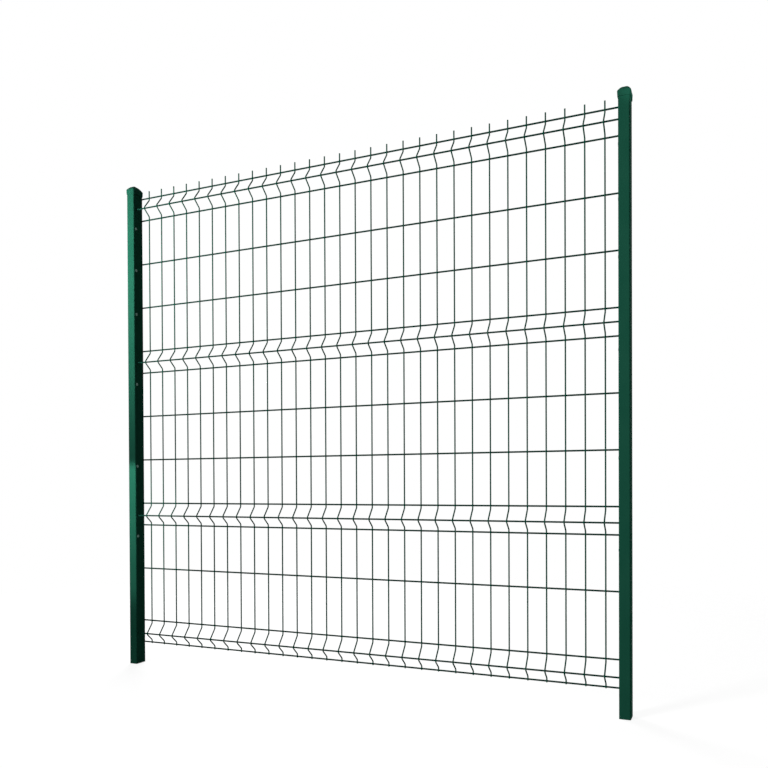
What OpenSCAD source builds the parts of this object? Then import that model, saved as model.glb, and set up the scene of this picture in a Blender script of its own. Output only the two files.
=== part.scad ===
// Welded mesh fence panel, one bay: a sheet of round wires pressed into four
// V folds that stiffen it, between two capped rectangular steel posts.
//
// X runs along the fence from the left post to the right one, Y points away
// from the side that the folds stand out of, and Z is up. The origin is the
// centre of the left post's foot. All lengths are in millimetres.

/* [Mesh] */
// Distance between the two posts, centre to centre
post_spacing = 2170; // [600:1:2700]
// Distance between neighbouring upright wires, centre to centre
upright_gap = 70; // [50:1:90]
// Least distance from a post's inner face to the first upright wire
least_side_gap = 20; // [15:1:45]
// Diameter of an upright wire, over its coating
upright_d = 5.5; // [4:0.5:6.5]
// Diameter of a cross wire, over its coating
cross_d = 6.5; // [4:0.5:8]
// How far the wires melt into each other where they are welded
weld_sink = 1.2; // [0.5:0.1:1.8]
// Length of the bare wire ends above the top cross wire
barb_h = 30; // [10:1:60]
// Length of the wire ends below the bottom cross wire
tail_h = 4; // [4:0.5:15]

/* [Cells] */
// Height of a fold, from its lower cross wire to its upper one
fold_h = 100; // [80:1:130]
// How far a fold stands out of the sheet
fold_depth = 32; // [15:1:40]
// Straight wire between a fold's outer cross wires and its first bend
fold_lead = 12; // [8:0.5:18]
// Length of the blunt tip of a fold
fold_tip = 8; // [4:0.5:14]
// How far a fold's tip lies under the middle of the fold
fold_drop = 6; // [0:0.5:12]
// Length over which the wire turns at a fold's first and last bend
fold_turn = 5; // [2:0.5:8]
// Height of an open cell between the folds
cell_h = 200; // [150:1:240]
// Height of the taller cell just above the lowest fold
low_cell_h = 240; // [150:1:280]
// Distance from a fold's outer cross wires to the end of its band
band_lead = 20; // [10:1:40]

/* [Posts] */
// Width of a post along the fence
post_w = 40; // [30:1:80]
// Depth of a post across the fence
post_d = 60; // [56:1:100]
// Wall thickness of a post
post_wall = 2; // [1.5:0.25:3]
// Outer corner radius of a post
post_corner_r = 5; // [3.5:0.5:8]
// Drop of a post's foot under the bottom cross wire
post_drop = 95; // [60:1:400]
// Distance from a post's front face to the plane of the flat mesh
mesh_setback = 47; // [42:1:50]

/* [Caps] */
// Height of a cap's lower edge over the top cross wire
cap_over = 14; // [8:1:60]
// Length of a cap's skirt down the post
cap_skirt = 17; // [12:1:40]
// Wall thickness of a cap at the foot of its skirt
cap_wall = 2.2; // [1:0.1:3]
// How much further a cap's shoulder stands out than its skirt's foot
cap_flare = 0.8; // [0.2:0.1:4]
// Thickness of a cap's roof at the shoulder
cap_roof = 3; // [2:0.5:6]
// Rise of a cap's domed top over its shoulder
cap_rise = 21; // [8:1:30]
// Side gap between a cap and its post
cap_clearance = 0.2; // [0.1:0.05:0.5]

/* [Inserts] */
// Drop of the lowest insert under the lower cross wire of the third fold
insert_1_drop = 50; // [15:1:90]
// Drop of the second insert under the first cross wire of the middle field
insert_2_drop = 30; // [15:1:90]
// Drop of the third insert under the lower cross wire of the second fold
insert_3_drop = 55; // [15:1:90]
// Drop of the fourth insert under the first cross wire of the upper field
insert_4_drop = 35; // [15:1:90]
// Drop of the fifth insert under the second cross wire of the upper field
insert_5_drop = 35; // [15:1:90]
// Drop of the highest insert under the lower cross wire of the top fold
insert_6_drop = 45; // [15:1:90]
// Distance from a post's front face to the inserts' axis
insert_setback = 14; // [13:0.5:20]
// Diameter of an insert's flange
insert_flange_d = 12; // [11:0.5:13]
// Thickness of an insert's flange
insert_flange_t = 1.2; // [0.8:0.1:2]
// Diameter of an insert's shank
insert_shank_d = 9; // [8:0.25:10]
// Length of an insert behind the post's wall
insert_tail = 9; // [6:0.5:14]
// Diameter of the bulge that grips the back of the wall
insert_bulge_d = 11; // [10.5:0.25:12.5]
// Length of the bulge that grips the back of the wall
insert_bulge_l = 3; // [2:0.25:4]
// Diameter of an insert's threaded hole
insert_bore_d = 5; // [4:0.25:6]
// Side gap between an insert's shank and its hole in the post
insert_clearance = 0.1; // [0.05:0.05:0.3]

/* [Hidden] */

steel_green = "#1d5a46";
cap_green = "#174c3b";
wire_green = "#24463b";
zinc = "#b9bfc2";

// Number of flat sides on a wire
wire_sides = 6;
// Faces round a true curve
curve_fn = 48;
// Faces round a corner of a cap
cap_fn = 24;
// Number of steps up a cap's dome
dome_steps = 5;
// Share of a cap's outline that is left at the top of its dome
dome_tip = 0.12;
// Least corner radius inside a cap
cap_edge_r = 1.5;
// Width of the ledge in a cap that sits on the post's end
cap_seat = post_wall + cap_edge_r;
// Thickness of the sheets that a cap's form is drawn over
sheet_t = 0.02;
// Length by which a cut runs past what it cuts
cut_past = 1;

// The mesh lies behind the posts' front faces
mesh_y = mesh_setback - post_d / 2;
tip_y = mesh_y - fold_depth;
cross_offset = (upright_d + cross_d) / 2 - weld_sink;

// As many uprights as fit between the posts, centred there
span = post_spacing - post_w;
last_upright = floor((span - 2 * least_side_gap) / upright_gap);
first_x = (post_spacing - last_upright * upright_gap) / 2;

// Heights of the four folds' lower cross wires
bottom_fold_z = post_drop;
third_fold_z = bottom_fold_z + fold_h + low_cell_h + cell_h;
second_fold_z = third_fold_z + fold_h + 3 * cell_h;
top_fold_z = second_fold_z + fold_h + 3 * cell_h;
top_wire_z = top_fold_z + fold_h;
post_h = top_wire_z + cap_over + cap_skirt;

// Heights of the threaded inserts on each post, from the lowest one up
insert_z = [
    third_fold_z - insert_1_drop,
    third_fold_z + fold_h + cell_h - insert_2_drop,
    second_fold_z - insert_3_drop,
    second_fold_z + fold_h + cell_h - insert_4_drop,
    second_fold_z + fold_h + 2 * cell_h - insert_5_drop,
    top_fold_z - insert_6_drop
];
insert_y = insert_setback - post_d / 2;

// Corner radius of a bar with few sides that has the area of a round wire
function bar_r(d) = d / 2 * sqrt(2 * PI / (wire_sides * sin(360 / wire_sides)));

function unit(v) = v / norm(v);

// Direction of a path of [y, z] points as it passes point i
function heading(path, i) =
    let (
        back = i > 0 ? unit(path[i] - path[i - 1]) : [0, 0],
        ahead = i < len(path) - 1 ? unit(path[i + 1] - path[i]) : [0, 0]
    )
    unit(back + ahead);

// How much a mitred ring is stretched across the bend at point i
function mitre(path, i) =
    i == 0 || i == len(path) - 1
        ? 1
        : 1 / (heading(path, i) * unit(path[i + 1] - path[i]));

// One ring of points round the path, square to it
function ring(path, i, r) =
    let (go = heading(path, i), side = [-go[1], go[0]])
    [
        for (k = [0 : wire_sides - 1])
            let (
                a = 360 * k / wire_sides,
                off = -r * sin(a) * mitre(path, i) * side
            )
            [r * cos(a), path[i][0] + off[0], path[i][1] + off[1]]
    ];

// Height of the tip of a fold whose lower cross wire is at base_z
function tip_z(base_z) = base_z + fold_h / 2 - fold_drop;

// The line of an upright through a fold whose lower cross wire is at base_z
function fold_path(base_z, low, high) =
    let (
        turn = fold_turn / 2,
        tip_low = tip_z(base_z) - fold_tip / 2,
        tip_high = tip_z(base_z) + fold_tip / 2,
        leg_low = base_z + fold_lead,
        leg_high = base_z + fold_h - fold_lead,
        low_slope = fold_depth / (tip_low - leg_low),
        high_slope = fold_depth / (leg_high - tip_high)
    )
    [
        [mesh_y, low],
        [mesh_y, leg_low - turn],
        [mesh_y - turn * low_slope, leg_low + turn],
        [tip_y, tip_low],
        [tip_y, tip_high],
        [mesh_y - turn * high_slope, leg_high - turn],
        [mesh_y, leg_high + turn],
        [mesh_y, high]
    ];

// A wire swept along a path of [y, z] points
module swept_wire(path, d) {
    r = bar_r(d);
    rings = len(path);
    points = [for (i = [0 : rings - 1]) each ring(path, i, r)];
    start = [for (k = [0 : wire_sides - 1]) k];
    finish = [
        for (k = [wire_sides - 1 : -1 : 0]) (rings - 1) * wire_sides + k
    ];
    walls = [
        for (i = [0 : rings - 2], k = [0 : wire_sides - 1])
            let (n = (k + 1) % wire_sides, a = i * wire_sides)
            [a + k, a + wire_sides + k, a + wire_sides + n, a + n]
    ];
    polyhedron(points, concat([start], walls, [finish]), convexity = 4);
}

// A straight upright wire
module straight_wire(low, high) {
    translate([0, mesh_y, low])
        cylinder(h = high - low, r = bar_r(upright_d), $fn = wire_sides);
}

// A cross wire from post to post, behind uprights whose line is at y
module cross_wire(y, z) {
    translate([post_w / 2, y + cross_offset, z])
        rotate([0, 90, 0])
            cylinder(h = span, r = bar_r(cross_d), $fn = wire_sides);
}

module along_uprights() {
    for (i = [0 : last_upright])
        translate([first_x + i * upright_gap, 0, 0]) children();
}

// A band of mesh with one fold in it, from height low to height high
module fold_band(base_z, low, high) {
    color(wire_green) union() {
        along_uprights()
            swept_wire(fold_path(base_z, low, high), upright_d);
        cross_wire(mesh_y, base_z);
        cross_wire(tip_y, tip_z(base_z));
        cross_wire(mesh_y, base_z + fold_h);
    }
}

// A flat band of mesh between two folds, with its cross wires' heights
module field_band(low, high, cross_z) {
    color(wire_green) union() {
        along_uprights() straight_wire(low, high);
        for (z = cross_z) cross_wire(mesh_y, z);
    }
}

module top_fold() {
    fold_band(top_fold_z, top_fold_z - band_lead, top_wire_z + barb_h);
}

module upper_field() {
    base = second_fold_z + fold_h;
    field_band(
        base + band_lead, top_fold_z - band_lead,
        [base + cell_h, base + 2 * cell_h]
    );
}

module second_fold() {
    fold_band(
        second_fold_z, second_fold_z - band_lead,
        second_fold_z + fold_h + band_lead
    );
}

module middle_field() {
    base = third_fold_z + fold_h;
    field_band(
        base + band_lead, second_fold_z - band_lead,
        [base + cell_h, base + 2 * cell_h]
    );
}

module third_fold() {
    fold_band(
        third_fold_z, third_fold_z - band_lead,
        third_fold_z + fold_h + band_lead
    );
}

module lower_field() {
    base = bottom_fold_z + fold_h;
    field_band(
        base + band_lead, third_fold_z - band_lead, [base + low_cell_h]
    );
}

module bottom_fold() {
    fold_band(
        bottom_fold_z, bottom_fold_z - tail_h,
        bottom_fold_z + fold_h + band_lead
    );
}

// A rectangle with round corners, centred
module round_rect(w, d, r, fn) {
    square([w - 2 * r, d], center = true);
    square([w, d - 2 * r], center = true);
    for (sx = [-1, 1], sy = [-1, 1])
        translate([sx * (w / 2 - r), sy * (d / 2 - r)])
            circle(r, $fn = fn);
}

// The post's outline, moved outwards by grow, or inwards
module post_outline(grow) {
    round_rect(
        post_w + 2 * grow, post_d + 2 * grow, post_corner_r + grow, curve_fn
    );
}

// A hollow post, drilled for the inserts through the wall that faces +X
module post() {
    color(steel_green) difference() {
        linear_extrude(post_h) difference() {
            post_outline(0);
            post_outline(-post_wall);
        }
        for (z = insert_z)
            translate([post_w / 2 - post_wall - cut_past, insert_y, z])
                rotate([0, 90, 0])
                    cylinder(
                        h = post_wall + 2 * cut_past,
                        d = insert_shank_d + 2 * insert_clearance,
                        $fn = curve_fn
                    );
    }
}

// A thin sheet just under height z, of a share of the post's outline that is
// moved outwards by grow, or inwards
module cap_sheet(grow, z, share = 1) {
    translate([0, 0, z - sheet_t])
        linear_extrude(sheet_t)
            round_rect(
                share * (post_w + 2 * grow), share * (post_d + 2 * grow),
                share * max(post_corner_r + grow, cap_edge_r), cap_fn
            );
}

// Sheets that rise and shrink along a parabola, as a low dome does
module dome_sheets(grow, z) {
    for (i = [0 : dome_steps]) {
        share = 1 - (1 - dome_tip) * i / dome_steps;
        cap_sheet(grow, z + cap_rise * (1 - share * share), share);
    }
}

// A push-on cap with a flared skirt and a low domed top
module cap() {
    foot = cap_clearance + cap_wall;
    color(cap_green) difference() {
        hull() {
            cap_sheet(foot, post_h - cap_skirt + sheet_t);
            dome_sheets(foot + cap_flare, post_h + cap_roof);
        }
        translate([0, 0, post_h - cap_skirt - cut_past])
            linear_extrude(cap_skirt + cut_past)
                post_outline(cap_clearance);
        hull() dome_sheets(-cap_seat, post_h);
    }
}

// A rivet nut set in the post's inner wall: flange outside, bulge inside
module insert(z) {
    shank_r = insert_shank_d / 2;
    bore_r = insert_bore_d / 2;
    color(zinc)
        translate([post_w / 2 - post_wall, insert_y, z])
            rotate([0, 90, 0])
                rotate_extrude($fn = curve_fn)
                    polygon([
                        [bore_r, -insert_tail],
                        [shank_r, -insert_tail],
                        [shank_r, -insert_bulge_l],
                        [insert_bulge_d / 2, -insert_bulge_l / 2],
                        [insert_bulge_d / 2, 0],
                        [shank_r, 0],
                        [shank_r, post_wall],
                        [insert_flange_d / 2, post_wall],
                        [insert_flange_d / 2, post_wall + insert_flange_t],
                        [bore_r, post_wall + insert_flange_t]
                    ]);
}

// Puts a left-hand piece on the right post, facing back along the fence
module on_right() {
    translate([post_spacing, 0, 0]) mirror([1, 0, 0]) children();
}

post();  // left_post
on_right() post();  // right_post
cap();  // left_cap
on_right() cap();  // right_cap
top_fold();
upper_field();
second_fold();
middle_field();
third_fold();
lower_field();
bottom_fold();
for (i = [0 : len(insert_z) - 1]) {
    insert(insert_z[i]);
    on_right() insert(insert_z[i]);
}
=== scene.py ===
"""Dresses one bay of a folded welded mesh fence: round wires with their welds,
powder coated posts, moulded caps and zinc threaded inserts.

Lengths are in millimetres up to the point where a mesh is made. The camera,
the lamps and the finishes have theirs in metres. X runs along the fence from
the left post, Y points away from the side that the folds stand out of, Z is
up, and the origin is the centre of the left post's foot.
"""

import math

import bpy
from mathutils import Matrix, Vector


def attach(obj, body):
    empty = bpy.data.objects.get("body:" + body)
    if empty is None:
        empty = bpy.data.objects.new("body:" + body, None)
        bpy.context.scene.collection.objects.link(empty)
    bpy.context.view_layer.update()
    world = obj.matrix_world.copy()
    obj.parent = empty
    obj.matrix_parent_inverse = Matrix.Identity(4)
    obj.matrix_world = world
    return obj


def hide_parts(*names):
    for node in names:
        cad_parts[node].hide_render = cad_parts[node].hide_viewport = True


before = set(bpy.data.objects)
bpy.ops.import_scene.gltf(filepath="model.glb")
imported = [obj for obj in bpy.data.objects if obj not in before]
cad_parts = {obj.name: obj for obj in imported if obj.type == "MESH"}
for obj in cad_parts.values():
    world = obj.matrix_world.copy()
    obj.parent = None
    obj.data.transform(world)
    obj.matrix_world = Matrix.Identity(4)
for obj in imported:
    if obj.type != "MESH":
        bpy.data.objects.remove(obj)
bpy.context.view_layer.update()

MM = 0.001

# The posts and their caps
POST_SPACING = 2170
POST_WIDTH = 40
POST_DEPTH = 60
POST_HEIGHT = 2166
CORNER_RADIUS = 5
LEAST_CORNER_RADIUS = 1.5
CORNER_STEPS = 8
CAP_SKIRT = 17
CAP_CLEARANCE = 0.2
CAP_FOOT = 2.4
CAP_SHOULDER = 3.2
CAP_ROOF = 3
CAP_RISE = 20.6
CAP_LEDGE = 3.5
SKIRT_EDGE = 0.5
DOME_STEPS = 18
DOME_TIP = 0.03

# The share of a rounded edge that the middle of its arc lies in from the corner
ARC_MIDDLE = 0.3

# The mesh sheet: its wires and where they are welded
UPRIGHTS = 30
UPRIGHT_GAP = 70
UPRIGHT_DIAMETER = 5.5
UPRIGHT_SIDES = 12
FIRST_X = (POST_SPACING - (UPRIGHTS - 1) * UPRIGHT_GAP) / 2
CROSS_DIAMETER = 6.5
CROSS_SIDES = 16
BARB_LENGTH = 30
TAIL_LENGTH = 4
MESH_Y = 17
WELD_SINK = 1.2
WELD_LUMP = (3.5, 1.5, 3.3)
WELD_SUBDIVISIONS = 2
WELD_UNEVENNESS = 0.12
WELD_SEED = 7

# How far a cross wire's axis and a weld's middle lie behind an upright's axis
CROSS_OFFSET = (UPRIGHT_DIAMETER + CROSS_DIAMETER) / 2 - WELD_SINK
WELD_OFFSET = UPRIGHT_DIAMETER / 2 - WELD_SINK / 2

# The four folds that stiffen the sheet, and the open cells between them
FOLD_HEIGHT = 100
FOLD_DEPTH = 32
FOLD_LEAD = 12
FOLD_TIP = 8
FOLD_DROP = 6
BEND_RADIUS = 9
BEND_STEPS = 5
CELL_HEIGHT = 200
LOW_CELL_HEIGHT = 240
FIELD_ROWS = 3
BOTTOM_Z = 95
BANDS = (
    "top_fold",
    "upper_field",
    "second_fold",
    "middle_field",
    "third_fold",
    "lower_field",
    "bottom_fold",
)

# The threaded inserts on the posts' inner faces
INSERT_Z = (585, 905, 1280, 1600, 1800, 1990)
INSERT_Y = -16
INSERT_SIDES = 24
INSERT_PROFILE = (
    # (distance out of the post's face, radius), round the outside
    (-11, 3.0),
    (-11, 4.2),
    (-10.7, 4.5),
    (-5, 4.5),
    (-4.3, 5.3),
    (-3.4, 5.5),
    (-2.05, 5.5),
    (-2, 4.5),
    (-0.02, 4.5),
    (0, 5.8),
    (0.2, 6.0),
    (1.0, 6.0),
    (1.2, 5.75),
    (1.2, 3.35),
)
THREAD_PITCH = 1.0
THREAD_RADIUS = 2.9
THREAD_DEPTH = 0.4
THREAD_START = 0.95
THREAD_LENGTH = 11.7
THREAD_STEPS = 44

# Faces that turn by more than this many degrees meet in a hard edge
HARD_TURN = 35

# The photograph's view
CAMERA_PLACE = (2.5041, -2.8159, 0.8158)
CAMERA_YAW, CAMERA_PITCH, CAMERA_ROLL = 23.981, -0.471, 0.247
CAMERA_LENS = 36.475
CAMERA_SENSOR = 36
CAMERA_SHIFT = (-0.00065, 0.1394)

# Two close tones of each finish
POST_GREENS = ((0.009, 0.082, 0.05), (0.012, 0.091, 0.056))
UPRIGHT_GREENS = ((0.005, 0.078, 0.048), (0.007, 0.092, 0.057))
# The cross wires' greens are darker than the uprights' though both wear the same coat:
# painted shade
CROSS_SHADE_GREENS = ((0.004, 0.034, 0.023), (0.006, 0.044, 0.03))
CAP_GREENS = ((0.009, 0.08, 0.049), (0.012, 0.09, 0.056))
ZINC_GREYS = ((0.08, 0.14, 0.12), (0.12, 0.19, 0.165))

# Patches of tone and of gloss, and grains: (size across, detail, roughness)
COAT_TONE = (0.11, 3)
COAT_GLOSS = (0.03, 4)
CAP_TONE = (0.02, 4)
CAP_GLOSS = (0.006, 3)
CAP_GRAIN = (0.0006, 3, 0.6)
ZINC_TONE = (0.004, 4)
ZINC_GLOSS = (0.002, 4)
ZINC_GRAIN = (0.0008, 2)

# Least and greatest roughness of each finish
POST_ROUGH = (0.75, 0.85)
WIRE_ROUGH = (0.7, 0.8)
CAP_ROUGH = (0.6, 0.75)
ZINC_ROUGH = (0.45, 0.6)

# Size of a powder coat's orange peel, and how many times finer its grain is
POST_PEEL = 0.0028
WIRE_PEEL = 0.0016
FINER = 5
PEEL_DETAIL = 2
FINE_DETAIL = 1

# Bumps: (strength, depth)
PEEL_BUMP = (0.5, 0.00006)
FINE_BUMP = (0.3, 0.00001)
CAP_BUMP = (0.35, 0.00004)
ZINC_BUMP = (0.25, 0.00002)

# How strongly the coats and the caps mirror
SKIN_SHINE = 0.02
# The part of a noise's range that its patches spread over
NOISE_LOW, NOISE_HIGH = 0.3, 0.7

# Places of the colour sockets on a Mix node
MIX_FIRST, MIX_SECOND, MIX_RESULT = 6, 7, 2
# Places of the number sockets on a Random Value node
RANDOM_LEAST, RANDOM_MOST, RANDOM_RESULT = 2, 3, 1

# The studio, whose floor fades out between two distances in metres
FILL_LIGHT = 0.1
SPOT_BULB = 0.02
FLOOR_REACH = 9000
FLOOR_FADE = (1.6, 4.0)
FLOOR_GLOW = 0.88
FLOOR_PALE = 0.35


def aim_camera():
    """Sets the camera at hip height before the right post, turned to the left."""
    yaw, pitch, roll = (
        math.radians(a) for a in (CAMERA_YAW, CAMERA_PITCH, CAMERA_ROLL)
    )
    ahead = Vector(
        (
            -math.sin(yaw) * math.cos(pitch),
            math.cos(yaw) * math.cos(pitch),
            math.sin(pitch),
        )
    )
    level = Vector((math.cos(yaw), math.sin(yaw), 0))
    down = ahead.cross(level)
    right = level * math.cos(roll) + down * math.sin(roll)
    up = level * math.sin(roll) - down * math.cos(roll)
    data = bpy.data.cameras.new("camera")
    data.sensor_width = CAMERA_SENSOR
    data.lens = CAMERA_LENS
    data.shift_x, data.shift_y = CAMERA_SHIFT
    camera = bpy.data.objects.new("camera", data)
    bpy.context.scene.collection.objects.link(camera)
    turn = Matrix((right, up, -ahead)).transposed().to_4x4()
    camera.matrix_world = Matrix.Translation(CAMERA_PLACE) @ turn
    bpy.context.scene.camera = camera


def noise(tree, place, size, detail=2.0, roughness=0.5):
    """Noise whose spots are about size metres across."""
    node = tree.nodes.new("ShaderNodeTexNoise")
    node.inputs["Scale"].default_value = 1 / size
    node.inputs["Detail"].default_value = detail
    node.inputs["Roughness"].default_value = roughness
    tree.links.new(place, node.inputs["Vector"])
    return node.outputs["Fac"]


def spread(tree, value, low, high, low_to, high_to):
    """Maps value from low..high to low_to..high_to, held at both ends."""
    node = tree.nodes.new("ShaderNodeMapRange")
    node.inputs["From Min"].default_value = low
    node.inputs["From Max"].default_value = high
    node.inputs["To Min"].default_value = low_to
    node.inputs["To Max"].default_value = high_to
    tree.links.new(value, node.inputs["Value"])
    return node.outputs["Result"]


def blend_tones(tree, share, first, second):
    """Goes from the first colour to the second as share goes from 0 to 1."""
    node = tree.nodes.new("ShaderNodeMix")
    node.data_type = "RGBA"
    tree.links.new(share, node.inputs["Factor"])
    node.inputs[MIX_FIRST].default_value = (*first, 1)
    node.inputs[MIX_SECOND].default_value = (*second, 1)
    return node.outputs[MIX_RESULT]


def bumps(tree, shader, layers):
    """Lays (height, (strength, depth in metres)) bumps over one another."""
    normal = None
    for height, (strength, depth) in layers:
        node = tree.nodes.new("ShaderNodeBump")
        node.inputs["Strength"].default_value = strength
        node.inputs["Distance"].default_value = depth
        tree.links.new(height, node.inputs["Height"])
        if normal is not None:
            tree.links.new(normal, node.inputs["Normal"])
        normal = node.outputs["Normal"]
    tree.links.new(normal, shader.inputs["Normal"])


def patchy_finish(name, tones, tone_patch, roughs, gloss_patch):
    """A material whose tone and roughness drift in patches over the object."""
    made = bpy.data.materials.new(name)
    made.use_nodes = True
    tree = made.node_tree
    shader = next(n for n in tree.nodes if n.type == "BSDF_PRINCIPLED")
    place = tree.nodes.new("ShaderNodeTexCoord").outputs["Object"]
    drift = noise(tree, place, *tone_patch)
    drift = spread(tree, drift, NOISE_LOW, NOISE_HIGH, 0, 1)
    colour = blend_tones(tree, drift, *tones)
    tree.links.new(colour, shader.inputs["Base Color"])
    haze = noise(tree, place, *gloss_patch)
    haze = spread(tree, haze, NOISE_LOW, NOISE_HIGH, *roughs)
    tree.links.new(haze, shader.inputs["Roughness"])
    return made, shader, place


def powder_coat(name, greens, roughs, peel):
    """Matt polyester powder coat: two close greens and an orange peel skin."""
    made, shader, place = patchy_finish(name, greens, COAT_TONE, roughs, COAT_GLOSS)
    tree = made.node_tree
    shader.inputs["Specular IOR Level"].default_value = SKIN_SHINE
    skin = noise(tree, place, peel, PEEL_DETAIL)
    fine = noise(tree, place, peel / FINER, FINE_DETAIL)
    bumps(tree, shader, ((skin, PEEL_BUMP), (fine, FINE_BUMP)))
    return made


def moulded_plastic():
    """The caps' green plastic, with a fine even grain."""
    made, shader, place = patchy_finish(
        "cap_plastic", CAP_GREENS, CAP_TONE, CAP_ROUGH, CAP_GLOSS
    )
    tree = made.node_tree
    shader.inputs["Specular IOR Level"].default_value = SKIN_SHINE
    bumps(tree, shader, ((noise(tree, place, *CAP_GRAIN), CAP_BUMP),))
    return made


def dull_zinc():
    """The inserts' zinc plate: dull and cloudy, with a green cast."""
    made, shader, place = patchy_finish(
        "insert_zinc", ZINC_GREYS, ZINC_TONE, ZINC_ROUGH, ZINC_GLOSS
    )
    tree = made.node_tree
    shader.inputs["Metallic"].default_value = 1
    bumps(tree, shader, ((noise(tree, place, *ZINC_GRAIN), ZINC_BUMP),))
    return made


def new_object(name, vertices, edges=(), faces=()):
    """An object at the origin, from points in millimetres."""
    mesh = bpy.data.meshes.new(name)
    mesh.from_pydata([Vector(v) * MM for v in vertices], edges, faces)
    made = bpy.data.objects.new(name, mesh)
    bpy.context.scene.collection.objects.link(made)
    return made


def place_piece(piece, slot_name, *nodes):
    """Joins a finished piece to the frame, in place of the nodes named."""
    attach(piece, "root")
    if nodes:
        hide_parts(*nodes)


def shade(made):
    """Smooth faces, with hard edges where they turn sharply."""
    made.data.shade_smooth()
    made.data.set_sharp_from_angle(angle=math.radians(HARD_TURN))
    return made


class Tree:
    """A geometry tree with named inputs for its sizes."""

    def __init__(self, name, sizes):
        self.group = bpy.data.node_groups.new(name, "GeometryNodeTree")
        panel = self.group.interface
        panel.new_socket("Geometry", in_out="INPUT", socket_type="NodeSocketGeometry")
        panel.new_socket("Geometry", in_out="OUTPUT", socket_type="NodeSocketGeometry")
        self.sockets = {
            label: panel.new_socket(label, in_out="INPUT", socket_type=kind).identifier
            for label, kind in sizes.items()
        }
        self.start = self.group.nodes.new("NodeGroupInput")
        self.end = self.group.nodes.new("NodeGroupOutput")

    def node(self, kind, settings=None, **inputs):
        """Adds a node; each input is a number or another node's output."""
        made = self.group.nodes.new(kind)
        for key, value in (settings or {}).items():
            setattr(made, key, value)
        for label, value in inputs.items():
            self.feed(made.inputs[label.replace("_", " ")], value)
        return made

    def feed(self, socket, value):
        """Sets a socket to a number, or links another node's output to it."""
        if isinstance(value, bpy.types.NodeSocket):
            self.group.links.new(value, socket)
        else:
            socket.default_value = value

    def arithmetic(self, operation, first, second):
        """The result of adding, subtracting or dividing two numbers."""
        made = self.node("ShaderNodeMath", {"operation": operation})
        self.feed(made.inputs[0], first)
        self.feed(made.inputs[1], second)
        return made.outputs[0]

    def size(self, label):
        """The named input's output inside the tree."""
        return self.start.outputs[label]

    def finish(self, geometry):
        """Makes plain, smooth, painted mesh of the geometry."""
        real = self.node("GeometryNodeRealizeInstances", Geometry=geometry)
        smooth = self.node("GeometryNodeSetShadeSmooth", Geometry=real.outputs[0])
        painted = self.node(
            "GeometryNodeSetMaterial",
            Geometry=smooth.outputs[0],
            Material=self.size("Material"),
        )
        self.group.links.new(painted.outputs[0], self.end.inputs[0])

    def run(self, made, values):
        """Runs the tree on an object and leaves a plain mesh there."""
        modifier = made.modifiers.new(self.group.name, "NODES")
        modifier.node_group = self.group
        for label, value in values.items():
            modifier[self.sockets[label]] = value
        graph = bpy.context.evaluated_depsgraph_get()
        mesh = bpy.data.meshes.new_from_object(made.evaluated_get(graph))
        made.modifiers.remove(modifier)
        made.data = mesh
        mesh.name = made.name
        return made


def wire_tree():
    """Draws a round wire along each line, rounds its bends and repeats it."""
    tree = Tree(
        "draw_wires",
        {
            "Diameter": "NodeSocketFloat",
            "Sides": "NodeSocketInt",
            "Bend Radius": "NodeSocketFloat",
            "Bend Steps": "NodeSocketInt",
            "Wires": "NodeSocketInt",
            "Spacing": "NodeSocketVector",
            "Material": "NodeSocketMaterial",
        },
    )
    line = tree.node("GeometryNodeMeshToCurve", Mesh=tree.start.outputs[0])
    bent = tree.node(
        "GeometryNodeFilletCurve",
        {"mode": "POLY"},
        Curve=line.outputs[0],
        Radius=tree.size("Bend Radius"),
        Count=tree.size("Bend Steps"),
        Limit_Radius=True,
    )
    section = tree.node(
        "GeometryNodeCurvePrimitiveCircle",
        Resolution=tree.size("Sides"),
        Radius=tree.arithmetic("DIVIDE", tree.size("Diameter"), 2),
    )
    wire = tree.node(
        "GeometryNodeCurveToMesh",
        Curve=bent.outputs[0],
        Profile_Curve=section.outputs[0],
        Fill_Caps=True,
    )
    row = tree.node(
        "GeometryNodeMeshLine",
        Count=tree.size("Wires"),
        Offset=tree.size("Spacing"),
    )
    wires = tree.node(
        "GeometryNodeInstanceOnPoints",
        Points=row.outputs[0],
        Instance=wire.outputs[0],
    )
    tree.finish(wires.outputs[0])
    return tree


def fold_bases():
    """Heights of the four folds' lower cross wires, from the bottom up."""
    third = BOTTOM_Z + FOLD_HEIGHT + LOW_CELL_HEIGHT + CELL_HEIGHT
    second = third + FOLD_HEIGHT + FIELD_ROWS * CELL_HEIGHT
    top = second + FOLD_HEIGHT + FIELD_ROWS * CELL_HEIGHT
    return BOTTOM_Z, third, second, top


def tip_z(base):
    """Height of the tip of a fold whose lower cross wire is at base."""
    return base + FOLD_HEIGHT / 2 - FOLD_DROP


def upright_line():
    """Points of one upright, from its tail to its barb, through four folds."""
    tip_y = MESH_Y - FOLD_DEPTH
    line = [(FIRST_X, MESH_Y, BOTTOM_Z - TAIL_LENGTH)]
    for base in fold_bases():
        line += [
            (FIRST_X, MESH_Y, base + FOLD_LEAD),
            (FIRST_X, tip_y, tip_z(base) - FOLD_TIP / 2),
            (FIRST_X, tip_y, tip_z(base) + FOLD_TIP / 2),
            (FIRST_X, MESH_Y, base + FOLD_HEIGHT - FOLD_LEAD),
        ]
    line.append((FIRST_X, MESH_Y, fold_bases()[-1] + FOLD_HEIGHT + BARB_LENGTH))
    return line


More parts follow.
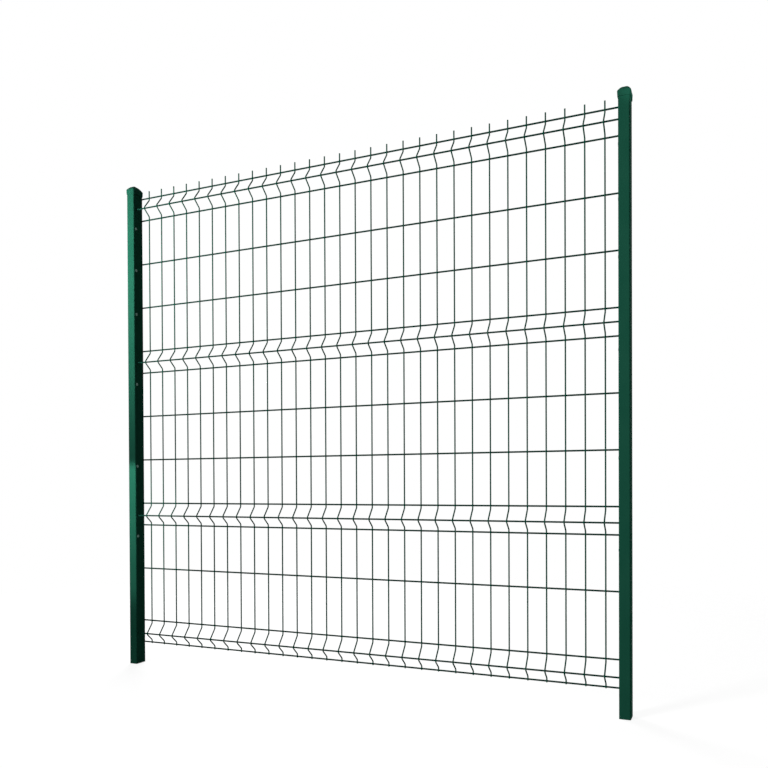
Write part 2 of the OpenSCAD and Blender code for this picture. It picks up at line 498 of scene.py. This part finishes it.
def cross_places():
    """(y of the uprights, z) at each cross wire, from the bottom up."""
    low, third, second, top = fold_bases()
    flat = [low + FOLD_HEIGHT + LOW_CELL_HEIGHT]
    for fold in (third, second):
        flat += [fold + FOLD_HEIGHT + CELL_HEIGHT * n for n in range(1, FIELD_ROWS)]
    places = [(MESH_Y, z) for z in flat]
    for base in (low, third, second, top):
        places += [
            (MESH_Y, base),
            (MESH_Y - FOLD_DEPTH, tip_z(base)),
            (MESH_Y, base + FOLD_HEIGHT),
        ]
    return sorted(places, key=lambda place: place[1])


def draw_uprights(wires, coat):
    """The row of uprights, each bent through the four folds."""
    line = upright_line()
    steps = [(i, i + 1) for i in range(len(line) - 1)]
    uprights = wires.run(
        new_object("upright_wires", line, steps),
        {
            "Diameter": UPRIGHT_DIAMETER * MM,
            "Sides": UPRIGHT_SIDES,
            "Bend Radius": BEND_RADIUS * MM,
            "Bend Steps": BEND_STEPS,
            "Wires": UPRIGHTS,
            "Spacing": (UPRIGHT_GAP * MM, 0, 0),
            "Material": coat,
        },
    )
    place_piece(uprights, "wire_coat", *BANDS)


def draw_cross_wires(wires, coat):
    """The straight cross wires behind the uprights, from post to post."""
    ends = [
        (x, y + CROSS_OFFSET, z)
        for y, z in cross_places()
        for x in (POST_WIDTH / 2, POST_SPACING - POST_WIDTH / 2)
    ]
    pairs = [(i, i + 1) for i in range(0, len(ends), 2)]
    crosses = wires.run(
        new_object("cross_wires", ends, pairs),
        {
            "Diameter": CROSS_DIAMETER * MM,
            "Sides": CROSS_SIDES,
            "Bend Radius": 0.0,
            "Bend Steps": 1,
            "Wires": 1,
            "Spacing": (0, 0, 0),
            "Material": coat,
        },
    )
    place_piece(crosses, "wire_coat", *BANDS)


def weld_tree():
    """Puts a lump of melted wire at each point, no two quite alike."""
    tree = Tree(
        "weld_crossings",
        {
            "Lump": "NodeSocketVector",
            "Unevenness": "NodeSocketFloat",
            "Seed": "NodeSocketInt",
            "Material": "NodeSocketMaterial",
        },
    )
    ball = tree.node(
        "GeometryNodeMeshIcoSphere",
        Radius=1.0,
        Subdivisions=WELD_SUBDIVISIONS,
    )
    share = tree.node(
        "FunctionNodeRandomValue",
        {"data_type": "FLOAT"},
        Seed=tree.size("Seed"),
    )
    uneven = tree.size("Unevenness")
    tree.feed(share.inputs[RANDOM_LEAST], tree.arithmetic("SUBTRACT", 1, uneven))
    tree.feed(share.inputs[RANDOM_MOST], tree.arithmetic("ADD", 1, uneven))
    lump = tree.node("ShaderNodeVectorMath", {"operation": "SCALE"})
    tree.feed(lump.inputs[0], tree.size("Lump"))
    tree.feed(lump.inputs["Scale"], share.outputs[RANDOM_RESULT])
    lumps = tree.node(
        "GeometryNodeInstanceOnPoints",
        Points=tree.start.outputs[0],
        Instance=ball.outputs[0],
        Scale=lump.outputs[0],
    )
    tree.finish(lumps.outputs[0])
    return tree


def lay_welds(coat):
    """A lump at every crossing of an upright and a cross wire."""
    crossings = [
        (FIRST_X + i * UPRIGHT_GAP, y + WELD_OFFSET, z)
        for y, z in cross_places()
        for i in range(UPRIGHTS)
    ]
    welds = weld_tree().run(
        new_object("weld_lumps", crossings),
        {
            "Lump": tuple(r * MM for r in WELD_LUMP),
            "Unevenness": WELD_UNEVENNESS,
            "Seed": WELD_SEED,
            "Material": coat,
        },
    )
    place_piece(welds, "wire_coat")


def ring_faces(rows, around, looped=False):
    """Faces between neighbouring rings, and back to the first if looped."""
    return [
        (
            a * around + k,
            a * around + (k + 1) % around,
            (a + 1) % rows * around + (k + 1) % around,
            (a + 1) % rows * around + k,
        )
        for a in range(rows if looped else rows - 1)
        for k in range(around)
    ]


def cap_ring(grow, z, share=1.0):
    """The post's outline moved out by grow, shrunk to a share, at height z."""
    half_width = POST_WIDTH / 2 + grow
    half_depth = POST_DEPTH / 2 + grow
    radius = max(CORNER_RADIUS + grow, LEAST_CORNER_RADIUS)
    ring = []
    for sx, sy, start in ((1, 1, 0), (-1, 1, 90), (-1, -1, 180), (1, -1, 270)):
        for k in range(CORNER_STEPS + 1):
            angle = math.radians(start + 90 * k / CORNER_STEPS)
            ring.append(
                (
                    share * (sx * (half_width - radius) + radius * math.cos(angle)),
                    share * (sy * (half_depth - radius) + radius * math.sin(angle)),
                    z,
                )
            )
    return ring


def cap_outside():
    """Rings up a cap: rounded lower edge, flared skirt, shoulder and low dome."""
    foot_z = POST_HEIGHT - CAP_SKIRT
    shoulder_z = POST_HEIGHT + CAP_ROOF
    rounding = ARC_MIDDLE * SKIRT_EDGE
    rings = [
        cap_ring(CAP_CLEARANCE + SKIRT_EDGE / 2, foot_z),
        cap_ring(CAP_FOOT - SKIRT_EDGE, foot_z),
        cap_ring(CAP_FOOT - rounding, foot_z + rounding),
        cap_ring(CAP_FOOT, foot_z + SKIRT_EDGE),
        cap_ring(CAP_SHOULDER, shoulder_z - SKIRT_EDGE),
    ]
    for k in range(DOME_STEPS + 1):
        share = 1 - (1 - DOME_TIP) * k / DOME_STEPS
        height = shoulder_z + CAP_RISE * (1 - share * share)
        rings.append(cap_ring(CAP_SHOULDER, height, share))
    return rings


def cap_shell(name, x, plastic):
    """A push-on cap, hollow under its roof, over the post at x."""
    inside = [
        cap_ring(-CAP_LEDGE, POST_HEIGHT + CAP_ROOF / 2),
        cap_ring(-CAP_LEDGE, POST_HEIGHT),
        cap_ring(CAP_CLEARANCE, POST_HEIGHT),
        cap_ring(CAP_CLEARANCE, POST_HEIGHT - CAP_SKIRT + SKIRT_EDGE / 2),
    ]
    rings = [*inside, *cap_outside()]
    around = len(rings[0])
    last = (len(rings) - 1) * around
    faces = ring_faces(len(rings), around)
    faces.append(tuple(reversed(range(around))))
    faces.append(tuple(last + k for k in range(around)))
    points = [(x + px, py, pz) for ring in rings for px, py, pz in ring]
    made = new_object(name, points, (), faces)
    made.data.materials.append(plastic)
    return shade(made)


def round_ring(x, radii):
    """Points round the X axis at x, each at its own radius."""
    ring = []
    for k, radius in enumerate(radii):
        angle = 2 * math.pi * k / len(radii)
        ring.append((x, radius * math.cos(angle), radius * math.sin(angle)))
    return ring


def thread_radii(x):
    """Radii round the thread at x. Its crest turns once in every pitch."""
    waves = [
        abs(((x / THREAD_PITCH - k / INSERT_SIDES) % 1) * 2 - 1)
        for k in range(INSERT_SIDES)
    ]
    return [THREAD_RADIUS - THREAD_DEPTH * wave for wave in waves]


def insert_template():
    """One insert with its thread, facing +X, at the origin."""
    rings = [round_ring(x, [radius] * INSERT_SIDES) for x, radius in INSERT_PROFILE]
    for n in range(THREAD_STEPS + 1):
        x = THREAD_START - THREAD_LENGTH * n / THREAD_STEPS
        rings.append(round_ring(x, thread_radii(x)))
    inside_out = ring_faces(len(rings), INSERT_SIDES, looped=True)
    faces = [(a, d, c, b) for a, b, c, d in inside_out]
    points = [point for ring in rings for point in ring]
    return new_object("insert_template", points, (), faces)


def insert_tree():
    """Sets a copy of the insert at each point, turned as the point says."""
    tree = Tree(
        "set_inserts",
        {"Insert": "NodeSocketObject", "Material": "NodeSocketMaterial"},
    )
    insert = tree.node("GeometryNodeObjectInfo", Object=tree.size("Insert"))
    facing = tree.node(
        "GeometryNodeInputNamedAttribute", {"data_type": "FLOAT_VECTOR"}, Name="turn"
    )
    copies = tree.node(
        "GeometryNodeInstanceOnPoints",
        Points=tree.start.outputs[0],
        Instance=insert.outputs["Geometry"],
        Rotation=facing.outputs[0],
    )
    tree.finish(copies.outputs[0])
    return tree


def set_inserts(zinc):
    """The inserts of both posts, facing each other along the fence."""
    face = POST_WIDTH / 2
    places, turns = [], []
    for x, turn in ((face, 0.0), (POST_SPACING - face, math.pi)):
        for z in INSERT_Z:
            places.append((x, INSERT_Y, z))
            turns += [0.0, 0.0, turn]
    made = new_object("post_inserts", places)
    marks = made.data.attributes.new("turn", "FLOAT_VECTOR", "POINT")
    marks.data.foreach_set("vector", turns)
    template = insert_template()
    insert_tree().run(made, {"Insert": template, "Material": zinc})
    bpy.data.objects.remove(template)
    numbers = range(1, len(INSERT_Z) + 1)
    nodes = [f"{side}_insert_{n}" for side in ("left", "right") for n in numbers]
    place_piece(shade(made), "insert_zinc", *nodes)


def coat_post(name, coat):
    """Gives a post of the frame its powder coat."""
    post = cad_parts[name]
    post.data.materials.clear()
    post.data.materials.append(coat)


def stand_lamp(name, data, place, aim):
    """Stands a lamp at place, turned to aim, out of the camera's sight."""
    lamp = bpy.data.objects.new(name, data)
    bpy.context.scene.collection.objects.link(lamp)
    lamp.location = place
    lamp.rotation_mode = "QUATERNION"
    lamp.rotation_quaternion = (Vector(aim) - Vector(place)).to_track_quat("-Z", "Y")
    lamp.visible_camera = False


def area_lamp(name, place, aim, width, height, power, beam=180):
    """A softbox with a grid that narrows its beam to so many degrees."""
    data = bpy.data.lights.new(name, "AREA")
    data.shape = "RECTANGLE"
    data.size, data.size_y = width, height
    data.energy = power
    data.spread = math.radians(beam)
    stand_lamp(name, data, place, aim)


def spot_lamp(name, place, aim, power, cone, softness):
    """A spot with a soft-edged round beam of so many degrees."""
    data = bpy.data.lights.new(name, "SPOT")
    data.energy = power
    data.spot_size = math.radians(cone)
    data.spot_blend = softness
    data.shadow_soft_size = SPOT_BULB
    stand_lamp(name, data, place, aim)


def seen_share(tree):
    """1 for rays that see the studio, straight, mirrored or through glass."""
    rays = tree.nodes.new("ShaderNodeLightPath")
    share = rays.outputs["Is Camera Ray"]
    for kind in ("Is Glossy Ray", "Is Transmission Ray"):
        either = tree.nodes.new("ShaderNodeMath")
        either.operation = "MAXIMUM"
        tree.links.new(share, either.inputs[0])
        tree.links.new(rays.outputs[kind], either.inputs[1])
        share = either.outputs[0]
    return share


def white_world():
    """White where it is seen or mirrored, and a dim fill light elsewhere."""
    world = bpy.data.worlds.new("studio")
    world.use_nodes = True
    tree = world.node_tree
    shown = tree.nodes["Background"]
    shown.inputs["Color"].default_value = (1, 1, 1, 1)
    strength = spread(tree, seen_share(tree), 0, 1, FILL_LIGHT, 1)
    tree.links.new(strength, shown.inputs["Strength"])
    bpy.context.scene.world = world


def floor_white(tree):
    """A pale matt floor that also glows where it is seen or mirrored."""
    matt = tree.nodes.new("ShaderNodeBsdfDiffuse")
    matt.inputs["Color"].default_value = (FLOOR_PALE, FLOOR_PALE, FLOOR_PALE, 1)
    glow = tree.nodes.new("ShaderNodeEmission")
    strength = spread(tree, seen_share(tree), 0, 1, 0, FLOOR_GLOW)
    tree.links.new(strength, glow.inputs["Strength"])
    white = tree.nodes.new("ShaderNodeAddShader")
    tree.links.new(matt.outputs[0], white.inputs[0])
    tree.links.new(glow.outputs[0], white.inputs[1])
    return white.outputs[0]


def floor_distance(tree, centre):
    """How far a point of the floor is from the middle of the fence, in metres."""
    place = tree.nodes.new("ShaderNodeTexCoord")
    off = tree.nodes.new("ShaderNodeVectorMath")
    off.operation = "SUBTRACT"
    off.inputs[1].default_value = (centre * MM, 0, 0)
    tree.links.new(place.outputs["Object"], off.inputs[0])
    far = tree.nodes.new("ShaderNodeVectorMath")
    far.operation = "LENGTH"
    tree.links.new(off.outputs[0], far.inputs[0])
    return far.outputs["Value"]


def pale_floor():
    """A white floor that keeps a faint shadow and fades into the background."""
    centre = POST_SPACING / 2
    corners = [
        (sx * FLOOR_REACH + centre, sy * FLOOR_REACH, 0)
        for sx, sy in ((-1, -1), (1, -1), (1, 1), (-1, 1))
    ]
    floor = new_object("floor", corners, (), [(0, 1, 2, 3)])
    made = bpy.data.materials.new("floor")
    made.use_nodes = True
    tree = made.node_tree
    tree.nodes.clear()
    out = tree.nodes.new("ShaderNodeOutputMaterial")
    fade = spread(tree, floor_distance(tree, centre), *FLOOR_FADE, 0, 1)
    clear = tree.nodes.new("ShaderNodeBsdfTransparent")
    mixed = tree.nodes.new("ShaderNodeMixShader")
    tree.links.new(fade, mixed.inputs[0])
    tree.links.new(floor_white(tree), mixed.inputs[1])
    tree.links.new(clear.outputs[0], mixed.inputs[2])
    tree.links.new(mixed.outputs[0], out.inputs[0])
    floor.data.materials.append(made)


aim_camera()

post_coat = powder_coat("post_coat", POST_GREENS, POST_ROUGH, POST_PEEL)
upright_coat = powder_coat("upright_coat", UPRIGHT_GREENS, WIRE_ROUGH, WIRE_PEEL)
# The cross wires get a darker copy of the uprights' coat, which paints in their shade
cross_coat = powder_coat("cross_coat", CROSS_SHADE_GREENS, WIRE_ROUGH, WIRE_PEEL)
cap_plastic = moulded_plastic()
insert_zinc = dull_zinc()

mesh_wires = wire_tree()
draw_uprights(mesh_wires, upright_coat)
draw_cross_wires(mesh_wires, cross_coat)
# The welds wear the cross wires' darker coat, so they carry the same painted shade
lay_welds(cross_coat)
for side, post_x in (("left", 0), ("right", POST_SPACING)):
    cap = cap_shell(f"{side}_cap_moulding", post_x, cap_plastic)
    place_piece(cap, "cap_plastic", f"{side}_cap")
set_inserts(insert_zinc)
for side in ("left", "right"):
    coat_post(f"{side}_post", post_coat)

# In front and far to the left, a softbox turned to the fence's right end
area_lamp(
    "front_lamp",
    place=(-1.2, -5.0, 1.9),
    aim=(3.2, 0, 1.8),
    width=1.2,
    height=1.2,
    power=60,
    beam=80,
)
# Close to the left post, one lamp for its upper part and one for its lower
area_lamp(
    "upper_lamp",
    place=(-0.6, -1.4, 1.4),
    aim=(0.0, 0, 1.98),
    width=0.3,
    height=0.5,
    power=10,
    beam=73,
)
spot_lamp(
    "lower_lamp",
    place=(0.0, -0.53, 0.95),
    aim=(0.0, -0.03, 0.68),
    power=19.5,
    cone=53,
    softness=0.3,
)
# A narrow spot on the right cap
spot_lamp(
    "cap_lamp",
    place=(3.05, -0.74, 1.75),
    aim=(2.18, 0, 2.18),
    power=38,
    cone=5,
    softness=0.6,
)
# Behind the fence, a large softbox without a grid
area_lamp(
    "back_lamp",
    place=(-2.2, 3.6, 3.0),
    aim=(1.0, 0, 1.0),
    width=2.0,
    height=2.0,
    power=120,
)
white_world()
pale_floor()
bpy.context.scene.view_settings.view_transform = "Standard"
